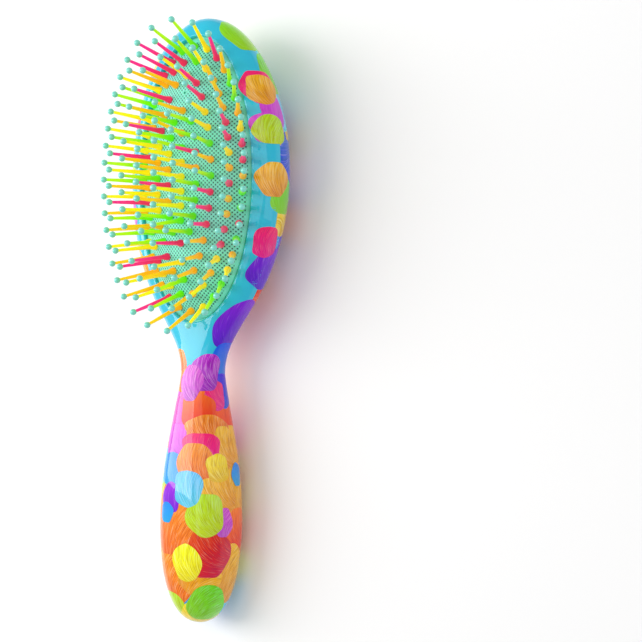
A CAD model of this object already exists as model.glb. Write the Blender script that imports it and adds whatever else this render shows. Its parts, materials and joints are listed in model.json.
"""Looks of an oval air-cushion hairbrush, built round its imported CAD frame.

The brush lies on its back. Every shape is worked out in the brush's own frame, in millimetres: X across,
Y towards the head tip, Z out of the pad, with the origin on the parting plane at the head's widest place.
Lay turns that frame into the row frame, in metres.
"""

from __future__ import annotations

import json
import logging
import math
from dataclasses import dataclass, field
from enum import Enum

import bmesh
import bpy
from mathutils import Matrix, Vector


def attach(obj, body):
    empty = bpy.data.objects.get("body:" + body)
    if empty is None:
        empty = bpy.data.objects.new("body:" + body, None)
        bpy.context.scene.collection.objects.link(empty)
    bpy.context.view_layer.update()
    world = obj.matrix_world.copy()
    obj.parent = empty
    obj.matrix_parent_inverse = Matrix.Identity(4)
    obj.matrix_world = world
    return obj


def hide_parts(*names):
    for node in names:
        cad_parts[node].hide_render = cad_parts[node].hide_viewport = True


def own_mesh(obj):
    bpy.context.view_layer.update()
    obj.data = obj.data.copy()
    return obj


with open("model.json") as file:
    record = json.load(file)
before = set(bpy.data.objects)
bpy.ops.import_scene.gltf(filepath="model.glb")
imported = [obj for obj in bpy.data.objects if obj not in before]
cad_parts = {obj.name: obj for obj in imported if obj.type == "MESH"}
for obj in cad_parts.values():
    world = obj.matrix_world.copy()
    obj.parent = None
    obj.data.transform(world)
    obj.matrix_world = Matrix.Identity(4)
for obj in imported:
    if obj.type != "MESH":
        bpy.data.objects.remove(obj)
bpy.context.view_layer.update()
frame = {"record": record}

MM = 0.001
Point = tuple[float, float, float]
Colour = tuple[float, float, float]
Socket, Node, Tree = bpy.types.NodeSocket, bpy.types.Node, bpy.types.NodeTree
Mesh, Piece, Finish = bpy.types.Mesh, bpy.types.Object, bpy.types.Material
log = logging.getLogger("hairbrush")


# ---------------------------------------------------------------- small helpers


def linear(red: int, green: int, blue: int) -> Colour:
    """A colour on the 0 to 255 display scale, as linear light.

    Args:
        red: Red, 0 to 255.
        green: Green, 0 to 255.
        blue: Blue, 0 to 255.

    Returns:
        The three linear values.
    """
    return tuple(
        c / 12.92 if c <= 0.04045 else ((c + 0.055) / 1.055) ** 2.4
        for c in (red / 255, green / 255, blue / 255)
    )


def rgba(colour: Colour) -> tuple[float, float, float, float]:
    """A colour with full alpha, as sockets take it."""
    return (*colour, 1.0)


def clamped(value: float) -> float:
    """The value held between 0 and 1."""
    return min(1.0, max(0.0, value))


def around(count: int) -> list[float]:
    """Equal angles once round a circle, in radians."""
    return [2 * math.pi * i / count for i in range(count)]


def cubic(start: float, slope_in: float, end: float, slope_out: float, length: float, r: float) -> float:
    """A cubic between two values with both end slopes given.

    Args:
        start: Value at r = 0.
        slope_in: Slope at r = 0, per unit of length.
        end: Value at r = 1.
        slope_out: Slope at r = 1, per unit of length.
        length: Length that r spans.
        r: Place along it, 0 to 1.

    Returns:
        The value at r.
    """
    r2, r3 = r * r, r * r * r
    return (
        start * (2 * r3 - 3 * r2 + 1)
        + slope_in * length * (r3 - 2 * r2 + r)
        + end * (3 * r2 - 2 * r3)
        + slope_out * length * (r3 - r2)
    )


class Colours(Enum):
    """The four colours of pin, with the letter that the row patterns use."""

    YELLOW = "y"
    ORANGE = "o"
    GREEN = "g"
    MAGENTA = "m"

    @property
    def word(self) -> str:
        """The colour's name as the node names have it."""
        return self.name.lower()


class Half(Enum):
    """The two halves of the body, with the side of the parting plane that each is on."""

    FRONT = 1
    BACK = -1


# ---------------------------------------------------------------- shape rules


@dataclass(frozen=True)
class BodyShape:
    """Outline and thickness of the body, in millimetres in the brush's own frame."""

    length: float = 240.0
    head_half_w: float = 36.3
    head_back_d: float = 21.5
    head_front_h: float = 10.4
    neck_half_w: float = 8.1
    neck_half_t: float = 7.4
    handle_half_w: float = 16.2
    handle_half_t: float = 13.9
    tip_y: float = 62.0
    head_end_y: float = -50.0
    neck_y: float = -80.0
    handle_full_y: float = -130.0
    handle_round_y: float = -138.0
    neck_side_l: float = 66.5
    back_end_y: float = -43.0
    thin_neck_y: float = -69.0
    section_power: float = 2.4
    tip_power: float = 3.2
    end_power: float = 2.3
    back_power: float = 0.85
    swell_power: float = 1.3

    @property
    def end_y(self) -> float:
        """Where the handle ends."""
        return self.tip_y - self.length

    def _swell(self, thin: float, full: float, r: float) -> float:
        """Growth from a thin size to a full one, with r from 0 to 1."""
        return thin + (full - thin) * math.sin(math.pi / 2 * clamped(r)) ** self.swell_power

    def _round_off(self, y: float) -> float:
        """Share of the full size that is left towards the handle's end."""
        r = clamped((self.handle_round_y - y) / (self.handle_round_y - self.end_y))
        return max(0.0, 1 - r**self.end_power) ** (1 / self.end_power)

    def _grip(self, thin: float, full: float, from_y: float, y: float) -> float:
        """A thickness along the handle, from the thin neck to the end."""
        if y > self.handle_round_y:
            return self._swell(thin, full, (from_y - y) / (from_y - self.handle_full_y))
        return full * self._round_off(y)

    def _oval(self, y: float) -> float:
        """1 at the head's widest place, falling to 0 at its tip and past its neck."""
        return max(0.0, 1 - (y / (self.tip_y if y > 0 else self.neck_side_l)) ** 2)

    def _head_w(self, y: float) -> float:
        """Half-width of the head's oval."""
        return self.head_half_w * math.sqrt(self._oval(y))

    def _head_back(self, y: float) -> float:
        """Depth of the head's domed back."""
        return self.head_back_d * self._oval(y) ** self.back_power

    def half_w(self, y: float) -> float:
        """Half-width of the body at a place along it."""
        top, low = self.head_end_y, self.neck_y
        if y >= top:
            return self._head_w(y)
        if y >= low:
            slope = self._head_w(top) - self._head_w(top + 1)
            return cubic(self._head_w(top), slope, self.neck_half_w, 0, top - low, (top - y) / (top - low))
        if y >= self.handle_round_y:
            r = (low - y) / (low - self.handle_round_y)
            return self._swell(self.neck_half_w, self.handle_half_w, r)
        return self.handle_half_w * self._round_off(y)

    def back_d(self, y: float) -> float:
        """Depth of the back below the parting plane."""
        top, low = self.back_end_y, self.thin_neck_y
        if y >= top:
            return self._head_back(y)
        if y >= low:
            slope = self._head_back(top) - self._head_back(top + 1)
            return cubic(self._head_back(top), slope, self.neck_half_t, 0, top - low, (top - y) / (top - low))
        return self._grip(self.neck_half_t, self.handle_half_t, low, y)

    def front_h(self, y: float) -> float:
        """Height of the front above the parting plane on the centre line."""
        if y >= 0:
            return self.head_front_h * max(0.0, 1 - (y / self.tip_y) ** self.tip_power) ** (1 / self.tip_power)
        if y >= self.thin_neck_y:
            return cubic(self.head_front_h, 0, self.neck_half_t, 0, -self.thin_neck_y, y / self.thin_neck_y)
        return self._grip(self.neck_half_t, self.handle_half_t, self.thin_neck_y, y)

    def depth(self, half: Half, y: float) -> float:
        """Thickness of one half on the centre line."""
        return self.front_h(y) if half is Half.FRONT else self.back_d(y)

    def skin_point(self, turn: float, y: float) -> Vector:
        """A point of the outer skin, with turn in degrees from the right side towards the front."""
        c, s = math.cos(math.radians(turn)), math.sin(math.radians(turn))
        half = Half.FRONT if s > 0 else Half.BACK
        power = 2 / self.section_power
        x = math.copysign(abs(c) ** power, c) * self.half_w(y)
        return Vector((x, y, math.copysign(abs(s) ** power, s) * self.depth(half, y)))

    def front_z(self, x: float, y: float) -> float:
        """Height of the front's skin above a point of the parting plane."""
        width = self.half_w(y)
        if width <= 1e-9:
            return 0.0
        left = max(0.0, 1 - min(1.0, abs(x) / width) ** self.section_power)
        return self.front_h(y) * left ** (1 / self.section_power)


@dataclass(frozen=True)
class DomeShape:
    """The rubber pad's dome and the recess that it stands in, in millimetres."""

    opening_half_w: float = 27.5
    opening_half_l: float = 56.5
    groove_undercut: float = 1.5
    groove_z: float = 5.4
    floor_z: float = 2.2
    half_w: float = 26.7
    half_l: float = 55.7
    crown_h: float = 9.6
    edge_z: float = 5.7
    rubber_t: float = 1.5
    centre_y: float = -2.6
    ridge_half_l: float = 18.0
    power: float = 2.5
    vent_y: float = 30.5
    vent_r: float = 0.5

    def ridge_l(self, t: float) -> float:
        """Half-length of the oval at share t of the way from the centre line to the edge."""
        return self.ridge_half_l + (self.half_l - self.ridge_half_l) * t

    def point(self, t: float, angle: float) -> Vector:
        """A point of the dome.

        Args:
            t: Share of the way from the centre line (0) to the edge (1).
            angle: Angle round the oval from +X, in radians.

        Returns:
            The point, in the brush's own frame.
        """
        height = self.crown_h * (1 - t**self.power)
        return Vector((
            self.half_w * t * math.cos(angle),
            self.centre_y + self.ridge_l(t) * math.sin(angle),
            self.edge_z + height,
        ))

    def normal(self, t: float, angle: float) -> Vector:
        """The dome's outward normal at a point given as for point()."""
        fall = self.power * self.crown_h * t ** (self.power - 1)
        c, s = math.cos(angle), math.sin(angle)
        spread = self.ridge_l(t) * c * c + (self.half_l - self.ridge_half_l) * t * s * s
        return Vector((fall * self.ridge_l(t) * c, fall * self.half_w * t * s, self.half_w * spread)).normalized()


@dataclass(frozen=True)
class Lay:
    """How the brush lies on its back: from its own frame in millimetres to the row frame in metres."""

    body: BodyShape
    tilt: float

    def matrix(self) -> Matrix:
        """The whole placement.

        Returns:
            A matrix that turns, drops and centres the brush, and scales millimetres to metres.
        """
        body, c, s = self.body, math.cos(self.tilt), math.sin(self.tilt)
        steps = [body.end_y + i * 0.5 for i in range(int(2 * body.length) + 1)]
        drop = max(body.back_d(y) * c - y * s for y in steps)
        middle = (body.tip_y + body.end_y) / 2 * c
        turn = Matrix.Rotation(self.tilt, 4, "X")
        return Matrix.Scale(MM, 4) @ Matrix.Translation((0, -middle, drop)) @ turn

    def direction(self, vector: Point) -> Vector:
        """A direction of the brush's own frame, in the row frame."""
        return (self.matrix().to_3x3() @ Vector(vector)).normalized()

    def place(self, point: Point) -> Vector:
        """A point of the brush's own frame, in the row frame."""
        return self.matrix() @ Vector(point)


# ---------------------------------------------------------------- meshes


class MeshSketch:
    """Collects vertices and faces of one piece in the brush's own frame."""

    def __init__(self) -> None:
        """Start with nothing."""
        self.points: list[Point] = []
        self.faces: list[list[int]] = []

    def row(self, points: list[Point]) -> list[int]:
        """Add points and return their numbers."""
        first = len(self.points)
        self.points += [tuple(p) for p in points]
        return list(range(first, len(self.points)))

    def strip(self, low: list[int], high: list[int], closed: bool = False) -> None:
        """Join two rows of equal length with quads.

        Args:
            low: The first row.
            high: The second row.
            closed: True if each row is a loop.
        """
        count = len(low)
        for i in range(count if closed else count - 1):
            j = (i + 1) % count
            self.faces.append([low[i], low[j], high[j], high[i]])

    def loft(self, rows: list[list[Point]], closed: bool = False) -> list[list[int]]:
        """Join each row of points to the next, and return the rows' numbers."""
        numbers = [self.row(r) for r in rows]
        for low, high in zip(numbers, numbers[1:]):
            self.strip(low, high, closed)
        return numbers

    def fan(self, ring: list[int], centre: Point) -> None:
        """Close a loop of vertices to one point."""
        hub = self.row([centre])[0]
        for i, number in enumerate(ring):
            self.faces.append([number, ring[(i + 1) % len(ring)], hub])

    def mesh(self, name: str, lay: Matrix | None = None, merge: float = 0.002, sharp: float = 35.0) -> Mesh:
        """The finished mesh.

        Args:
            name: Name of the mesh.
            lay: Placement to apply, or None to stay in the brush's own frame.
            merge: Distance under which vertices are joined, in millimetres.
            sharp: Angle in degrees over which an edge is sharp.

        Returns:
            A mesh whose faces point outwards.
        """
        mesh = bpy.data.meshes.new(name)
        mesh.from_pydata(self.points, [], self.faces)
        work = bmesh.new()
        work.from_mesh(mesh)
        bmesh.ops.remove_doubles(work, verts=work.verts, dist=merge)
        bmesh.ops.dissolve_degenerate(work, edges=work.edges, dist=merge / 2)
        bmesh.ops.recalc_face_normals(work, faces=work.faces)
        work.to_mesh(mesh)
        work.free()
        if lay is not None:
            mesh.transform(lay)
        mesh.shade_smooth()
        mesh.set_sharp_from_angle(angle=math.radians(sharp))
        return mesh


def new_object(name: str, mesh: Mesh) -> Piece:
    """An object at the origin that holds the mesh, linked to the scene."""
    thing = bpy.data.objects.new(name, mesh)
    bpy.context.scene.collection.objects.link(thing)
    return thing


# ---------------------------------------------------------------- node trees


class Graph:
    """Adds and joins nodes in one node tree, for shaders and for geometry."""

    def __init__(self, tree: Tree) -> None:
        """Work on this tree."""
        self.tree = tree

    def node(self, kind: str, feeds: dict | None = None, **settings) -> Node:
        """Add a node.

        Args:
            kind: The node's type name.
            feeds: Input socket name or number to a value or an output socket.
            settings: Properties set before the inputs.

        Returns:
            The node.
        """
        made = self.tree.nodes.new(kind)
        for key, value in settings.items():
            setattr(made, key, value)
        for key, value in (feeds or {}).items():
            self.feed(made.inputs[key], value)
        return made

    def feed(self, socket: Socket, value) -> None:
        """Join an output socket to an input, or set the input's own value."""
        if isinstance(value, Socket):
            self.tree.links.new(value, socket)
        elif value is not None:
            socket.default_value = value

    def math(self, operation: str, *values) -> Socket:
        """A Math node's output for up to three values."""
        made = self.node("ShaderNodeMath", dict(enumerate(values)), operation=operation)
        return made.outputs[0]

    def plus(self, first, second) -> Socket:
        """The sum of two values."""
        return self.math("ADD", first, second)

    def minus(self, first, second) -> Socket:
        """The first value less the second."""
        return self.math("SUBTRACT", first, second)

    def times(self, first, second) -> Socket:
        """The product of two values."""
        return self.math("MULTIPLY", first, second)

    def over(self, first, second) -> Socket:
        """The first value divided by the second."""
        return self.math("DIVIDE", first, second)

    def vector(self, operation: str, *values) -> Socket:
        """A Vector Math node's vector output."""
        made = self.node("ShaderNodeVectorMath", dict(enumerate(values)), operation=operation)
        return made.outputs["Vector"]

    def scaled(self, vector, factor) -> Socket:
        """A vector times a number."""
        made = self.node("ShaderNodeVectorMath", {"Vector": vector, "Scale": factor}, operation="SCALE")
        return made.outputs["Vector"]

    def parts(self, vector) -> tuple:
        """The X, Y and Z of a vector."""
        return tuple(self.node("ShaderNodeSeparateXYZ", {0: vector}).outputs)

    def joined(self, x, y, z) -> Socket:
        """A vector from its X, Y and Z."""
        return self.node("ShaderNodeCombineXYZ", {0: x, 1: y, 2: z}).outputs[0]

    def ranged(self, value, low, high, to_low=0.0, to_high=1.0, smooth: bool = False) -> Socket:
        """A Map Range node's output, held within its range."""
        feeds = {"Value": value, "From Min": low, "From Max": high, "To Min": to_low, "To Max": to_high}
        kind = "SMOOTHSTEP" if smooth else "LINEAR"
        return self.node("ShaderNodeMapRange", feeds, interpolation_type=kind).outputs[0]

    def mixed(self, factor, first, second, blend: str = "MIX") -> Socket:
        """A colour mix of two colours."""
        made = self.node("ShaderNodeMix", data_type="RGBA", blend_type=blend)
        for socket, value in ((made.inputs[0], factor), (made.inputs[6], first), (made.inputs[7], second)):
            self.feed(socket, value)
        return made.outputs[2]

    def noise(self, vector, scale: float, detail: float = 2.0, roughness: float = 0.5) -> Node:
        """A three-dimensional Noise Texture node."""
        feeds = {"Vector": vector, "Scale": scale, "Detail": detail, "Roughness": roughness}
        return self.node("ShaderNodeTexNoise", feeds)

    def group(self, tree: Tree, feeds: dict | None = None) -> Node:
        """A group node that holds another shader tree."""
        made = self.tree.nodes.new("ShaderNodeGroup")
        made.node_tree = tree
        for key, value in (feeds or {}).items():
            self.feed(made.inputs[key], value)
        return made


def shader_group(name: str, takes: dict[str, tuple], gives: dict[str, str]) -> tuple:
    """An empty shader node group with its sockets made.

    Args:
        name: Name of the group.
        takes: Input name to its socket kind (Float, Vector or Color) and default.
        gives: Output name to its socket kind.

    Returns:
        The group's graph, and the sockets that it takes and gives.
    """
    tree = bpy.data.node_groups.new(name, "ShaderNodeTree")
    for label, (kind, default) in takes.items():
        socket = tree.interface.new_socket(label, in_out="INPUT", socket_type=f"NodeSocket{kind}")
        socket.default_value = default
    for label, kind in gives.items():
        tree.interface.new_socket(label, in_out="OUTPUT", socket_type=f"NodeSocket{kind}")
    return Graph(tree), tree.nodes.new("NodeGroupInput").outputs, tree.nodes.new("NodeGroupOutput").inputs


class SharedGroup:
    """A shader group that every material shares, built the first time it is asked for."""

    _tree: Tree | None = None

    @classmethod
    def tree(cls) -> Tree:
        """The group's tree."""
        if cls._tree is None:
            cls._tree = cls._build()
        return cls._tree

    @staticmethod
    def _build() -> Tree:
        """Build the group's tree."""
        raise NotImplementedError


class BristleGroup(SharedGroup):
    """Shader group: the fine bowed lines that a brush leaves in one dab of paint."""

    @staticmethod
    def _build() -> Tree:
        """Build the group.

        Returns:
            A tree that takes distances from the dab's middle in metres, the dab's size and the
            lines' pitch, and gives the height of the line and the share of the way along the dab.
        """
        takes = {"Side": ("Float", 0.0), "Run": ("Float", 0.0), "Size": ("Float", 0.01),
                 "Line Pitch": ("Float", 0.0005), "Seed": ("Float", 0.0)}
        g, given, out = shader_group("Bristle lines", takes, {"Line": "Float", "Across": "Float"})
        side, size, pitch = given["Side"], given["Size"], given["Line Pitch"]
        run = g.over(given["Run"], size)
        g.feed(out["Across"], g.ranged(run, -1.0, 1.0))
        # The lines start together at one end of the dab, spread out and bow to one side
        narrowing = g.math("MAXIMUM", g.math("MULTIPLY_ADD", run, 0.34, 0.95), 0.3)
        bow = g.times(g.times(run, run), g.times(size, 0.3))
        fanned = g.over(g.plus(side, bow), narrowing)
        place = g.joined(
            g.over(fanned, pitch),
            g.over(given["Run"], g.times(pitch, 26.0)),
            given["Seed"])
        g.feed(out["Line"], g.noise(place, 1.0, 1.5, 0.55).outputs[0])
        return g.tree


class DabGroup(SharedGroup):
    """Shader group: one coat of rounded brush dabs strewn over the body."""

    @staticmethod
    def _build() -> Tree:
        """Build the group.

        Returns:
            A tree that takes a place and a dab's sizes, in metres, and gives its masks and numbers.
        """
        takes = {
            "Vector": ("Vector", (0, 0, 0)), "Shift": ("Vector", (0, 0, 0)), "Cell": ("Float", 0.02),
            "Radius": ("Float", 0.45), "Spread": ("Float", 0.12), "Line Pitch": ("Float", 0.0005),
        }
        gives = {"Mask": "Float", "Line": "Float", "Rim": "Float", "Across": "Float",
                 "Random": "Float", "Centre": "Vector"}
        g, given, out = shader_group("Brush dab coat", takes, gives)
        moved = g.vector("ADD", given["Vector"], given["Shift"])
        wobble = g.noise(moved, 110.0, 1.0).outputs["Color"]
        wobble = g.scaled(g.vector("SUBTRACT", wobble, (0.5, 0.5, 0.5)), 0.004)
        cells = g.node("ShaderNodeTexVoronoi", {
            "Vector": g.vector("ADD", moved, wobble), "Scale": g.over(1.0, given["Cell"]),
            "Randomness": 0.62})
        centre = cells.outputs["Position"]
        dice = g.node("ShaderNodeSeparateColor", {0: cells.outputs["Color"]}).outputs
        radius = g.math("MULTIPLY_ADD", g.minus(dice[0], 0.5), given["Spread"], given["Radius"])
        inside = g.minus(radius, cells.outputs["Distance"])
        g.feed(out["Mask"], g.ranged(inside, 0.0, g.over(0.00014, given["Cell"])))
        g.feed(out["Rim"], g.ranged(inside, 0.0, g.over(0.0011, given["Cell"]), 1.0, 0.0))
        x, y, _ = g.parts(g.vector("SUBTRACT", moved, centre))
        turn = g.times(dice[1], 2 * math.pi)
        c, s = g.math("COSINE", turn), g.math("SINE", turn)
        lines = g.group(BristleGroup.tree(), {
            "Side": g.minus(g.times(y, c), g.times(x, s)),
            "Run": g.plus(g.times(x, c), g.times(y, s)),
            "Size": g.times(radius, given["Cell"]),
            "Line Pitch": given["Line Pitch"], "Seed": g.times(dice[2], 90.0)})
        g.feed(out["Line"], lines.outputs["Line"])
        g.feed(out["Across"], lines.outputs["Across"])
        g.feed(out["Random"], dice[2])
        g.feed(out["Centre"], g.vector("SUBTRACT", centre, given["Shift"]))
        return g.tree


@dataclass(frozen=True)
class Zone:
    """A stretch of the body and the paints used on it, from its lowest place along the brush."""

    from_y_mm: float
    paints: tuple[tuple[int, int, int], ...]


AQUA = (36, 192, 224)
TEAL = (0, 160, 182)
CYAN = (126, 228, 238)
PALE_BLUE = (160, 214, 244)
SKY = (44, 156, 236)
AZURE = (30, 116, 236)
ROYAL = (18, 74, 224)
NAVY = (20, 22, 190)
INDIGO = (98, 84, 222)
VIOLET = (150, 84, 218)
ORCHID = (206, 104, 224)
PALE_PINK = (236, 206, 226)
PINK = (250, 140, 208)
HOT_PINK = (246, 16, 130)
RED = (222, 34, 34)
VERMILION = (242, 74, 20)
CORAL = (250, 104, 64)
ORANGE = (246, 130, 24)
AMBER = (246, 172, 0)
GOLD = (250, 214, 0)
YELLOW = (246, 242, 0)
CREAM = (226, 238, 190)
LIME = (192, 226, 0)
GREEN = (126, 222, 30)
LEAF = (62, 196, 20)
MINT = (140, 240, 180)
TURQUOISE = (30, 196, 214)

BACK_ZONES = (
    Zone(44, (GREEN, YELLOW, CYAN, AZURE, LIME, YELLOW, TEAL, CYAN)),
    Zone(24, (CYAN, SKY, YELLOW, PALE_BLUE, MINT, VIOLET, CYAN, CREAM)),
    Zone(4, (PALE_BLUE, AZURE, ROYAL, INDIGO, ORCHID, SKY, ROYAL, GOLD)),
    Zone(-14, (ROYAL, ORCHID, VIOLET, AZURE, PALE_PINK, PINK, ROYAL, LEAF)),
    Zone(-34, (VERMILION, ORCHID, GOLD, INDIGO, ORANGE, ORCHID, SKY, AMBER)),
    Zone(-54, (NAVY, HOT_PINK, PALE_PINK, AMBER, ORCHID, GREEN, HOT_PINK, CORAL)),
    Zone(-76, (VERMILION, CORAL, AMBER, HOT_PINK, CORAL, VIOLET, ORANGE, CORAL)),
    Zone(-104, (ORANGE, PINK, AMBER, VERMILION, HOT_PINK, ORANGE, GOLD, CORAL)),
    Zone(-136, (GOLD, AMBER, TURQUOISE, YELLOW, ROYAL, LIME, GOLD, ORANGE)),
    Zone(-158, (ORANGE, YELLOW, AMBER, ORCHID, GOLD, TURQUOISE, ORANGE, YELLOW)),
    Zone(-400, (TURQUOISE, LEAF, YELLOW, SKY, GREEN, TURQUOISE, GOLD, AZURE)),
)
FRONT_ZONES = (
    Zone(36, (GREEN, PALE_BLUE, LIME, GREEN, CYAN, LIME, MINT, GREEN)),
    Zone(14, (ORANGE, PINK, LIME, AMBER, ORCHID, ORANGE, YELLOW, LIME)),
    Zone(-12, (AMBER, ORANGE, GREEN, ORCHID, LIME, AMBER, MINT, ORANGE)),
    Zone(-50, (HOT_PINK, VIOLET, HOT_PINK, INDIGO, ORCHID, HOT_PINK, AMBER, VIOLET)),
    Zone(-84, (ORCHID, VIOLET, ROYAL, ORCHID, INDIGO, ORCHID, AZURE, VIOLET)),
    Zone(-106, (VERMILION, ORANGE, HOT_PINK, ORANGE, AMBER, VERMILION, ORCHID, ORANGE)),
    Zone(-134, (AMBER, LIME, CYAN, YELLOW, ORANGE, AMBER, VIOLET, ORANGE)),
    Zone(-158, (RED, YELLOW, AMBER, ORCHID, AMBER, LIME, RED, SKY)),
    Zone(-400, (GREEN, AMBER, SKY, LIME, AMBER, GREEN, YELLOW, GREEN)),
)


def paint_group(name: str, zones: tuple[Zone, ...]) -> Tree:
    """Shader group: picks a paint for a dab by where the dab is and by its random number.

    Args:
        name: Name of the group.
        zones: The zones from the head tip to the handle's end.

    Returns:
        The group's tree.
    """
    takes = {"Random": ("Float", 0.5), "Place Along": ("Float", 0.0)}
    g, given, out = shader_group(name, takes, {"Color": "Color"})
    colour = None
    for zone in reversed(zones):
        ramp = g.node("ShaderNodeValToRGB", {0: given["Random"]})
        ramp.color_ramp.interpolation = "CONSTANT"
        stops = ramp.color_ramp.elements
        while len(stops) < len(zone.paints):
            stops.new(1.0)
        for i, paint in enumerate(zone.paints):
            stops[i].position = i / len(zone.paints)
            stops[i].color = rgba(linear(*paint))
        if colour is None:
            colour = ramp.outputs[0]
            continue
        above = g.math("GREATER_THAN", given["Place Along"], zone.from_y_mm * MM)
        colour = g.mixed(above, colour, ramp.outputs[0])
    g.feed(out["Color"], colour)
    return g.tree


class StrokeTint(SharedGroup):
    """Shader group: turns a flat paint into one laid with a brush, lighter and darker along its lines."""

    @staticmethod
    def _build() -> Tree:
        """Build the group and return its tree."""
        takes = {"Color": ("Color", (1, 1, 1, 1)), "Line": ("Float", 0.5), "Rim": ("Float", 0.0),
                 "Across": ("Float", 0.5), "Strength": ("Float", 1.0)}
        g, given, out = shader_group("Brush stroke tint", takes, {"Color": "Color"})
        line = g.times(g.minus(given["Line"], 0.5), given["Strength"])
        sweep = g.minus(given["Across"], 0.5)
        hue = g.plus(g.math("MULTIPLY_ADD", sweep, 0.03, 0.5), g.times(line, 0.06))
        dark = g.ranged(line, -0.02, -0.12, 0.0, 0.6)
        light = g.ranged(line, 0.07, 0.17, 0.0, 0.42)
        turned = g.node("ShaderNodeHueSaturation", {
            "Hue": hue, "Saturation": 1.3, "Value": g.math("MULTIPLY_ADD", sweep, 0.16, 1.0),
            "Color": given["Color"]})
        shaded = g.mixed(dark, turned.outputs[0], g.mixed(1.0, turned.outputs[0], (0.5, 0.42, 0.5, 1), "MULTIPLY"))
        lit = g.mixed(light, shaded, g.mixed(0.48, shaded, (1, 1, 0.9, 1)))
        rim = g.times(given["Rim"], 0.18)
        g.feed(out["Color"], g.mixed(rim, lit, g.mixed(0.5, lit, (1, 1, 1, 1))))
        return g.tree


class MouldGrain(SharedGroup):
    """Shader group: the faint unevenness of moulded plastic or rubber, as a colour, a roughness and a height."""

    @staticmethod
    def _build() -> Tree:
        """Build the group and return its tree."""
        takes = {"Color": ("Color", (1, 1, 1, 1)), "Roughness": ("Float", 0.4),
                 "Mottle": ("Float", 0.06), "Grain Scale": ("Float", 2500.0)}
        gives = {"Color": "Color", "Roughness": "Float", "Height": "Float"}
        g, given, out = shader_group("Mould grain", takes, gives)
        where = g.node("ShaderNodeTexCoord").outputs["Object"]
        cloud = g.noise(where, 160.0, 3.0).outputs[0]
        fine = g.node("ShaderNodeTexNoise", {
            "Vector": where, "Scale": given["Grain Scale"], "Detail": 2.0}).outputs[0]
        swing = g.times(g.minus(cloud, 0.5), given["Mottle"])
        value = g.plus(1.0, g.times(swing, 2.0))
        tinted = g.node("ShaderNodeHueSaturation", {"Value": value, "Color": given["Color"]}).outputs[0]
        g.feed(out["Color"], tinted)
        rough = g.plus(given["Roughness"], g.times(g.minus(fine, 0.5), 0.16))
        g.feed(out["Roughness"], g.plus(rough, swing))
        g.feed(out["Height"], fine)
        return g.tree


# ---------------------------------------------------------------- finishes


def fresh_material(name: str) -> tuple[Finish, Graph, Node]:
    """A new material with its graph and its Principled BSDF."""
    material = bpy.data.materials.new(name)
    material.use_nodes = True
    return material, Graph(material.node_tree), material.node_tree.nodes["Principled BSDF"]


def grained(g: Graph, shader: Node, colour, roughness: float, mottle: float,
            bump: tuple[float, float] | None = None, grain_scale: float = 2500.0) -> Socket:
    """Give a shader its colour and roughness through the mould grain.

    Args:
        g: The material's graph.
        shader: Its Principled BSDF.
        colour: The even colour, as a value or a socket.
        roughness: The even roughness.
        mottle: How much the colour and roughness vary.
        bump: Strength and distance of the grain's bump, or None for a smooth skin.
        grain_scale: How fine the grain is.

    Returns:
        The varied colour.
    """
    grain = g.group(MouldGrain.tree(), {
        "Color": colour, "Roughness": roughness, "Mottle": mottle, "Grain Scale": grain_scale}).outputs
    g.feed(shader.inputs["Base Color"], grain["Color"])
    g.feed(shader.inputs["Roughness"], grain["Roughness"])
    if bump:
        feeds = {"Height": grain["Height"], "Strength": bump[0], "Distance": bump[1]}
        g.feed(shader.inputs["Normal"], g.node("ShaderNodeBump", feeds).outputs[0])
    return grain["Color"]


def lacquered(g: Graph, shader: Node, colour) -> None:
    """Paint of the given colour under a thick clear gloss lacquer."""
    grained(g, shader, colour, 0.32, 0.02)
    settings = {"Specular IOR Level": 0.12, "Coat Weight": 0.85, "Coat Roughness": 0.025, "Coat IOR": 1.5}
    for name, value in settings.items():
        shader.inputs[name].default_value = value


@dataclass(frozen=True)
class Coat:
    """One coat of dabs in the painted finish. Lengths are in millimetres."""

    cell: float
    radius: float
    shift: Point
    line_pitch: float = 0.24
    strength: float = 1.0


BODY_COATS = (
    Coat(30, 0.6, (3, 11, 5), 0.26, 0.8),
    Coat(25, 0.52, (41, 7, 19), 0.24, 1.0),
    Coat(24, 0.46, (13, 57, 31), 0.23, 1.0),
    Coat(23, 0.44, (71, 23, 43), 0.22, 1.1),
    Coat(21, 0.42, (29, 83, 11), 0.21, 1.2),
)


# Distance round the handle's full width for each degree, and the least gap between dabs of one layer
MM_PER_DEGREE = 0.28
DAB_GAP = 2.0


@dataclass(frozen=True)
class LaidDab:
    """One dab at a chosen place on the body.

    Args:
        turn: Place round the body in degrees, with 0 on the right side and 90 in the middle of the front.
        along: Place along the body in millimetres.
        wide: Reach round the body in millimetres.
        long: Reach along the body in millimetres.
        slant: Slant of the bristle lines from the body's length, in degrees.
        paint: Colour of the paint.
        strength: How strongly the lines show.
        pitch: Pitch of the lines in millimetres.
    """

    turn: float
    along: float
    wide: float
    long: float
    slant: float
    paint: tuple[int, int, int]
    strength: float = 1.0
    pitch: float = 0.21

    def overlaps(self, other: "LaidDab") -> bool:
        """Whether the two dabs may touch, by their reach along the body and round it."""
        apart = abs((self.turn - other.turn + 180) % 360 - 180) * MM_PER_DEGREE
        near = abs(self.along - other.along) < self.long + other.long + DAB_GAP
        return near and apart < self.wide + other.wide + 1.5 * DAB_GAP


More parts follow.
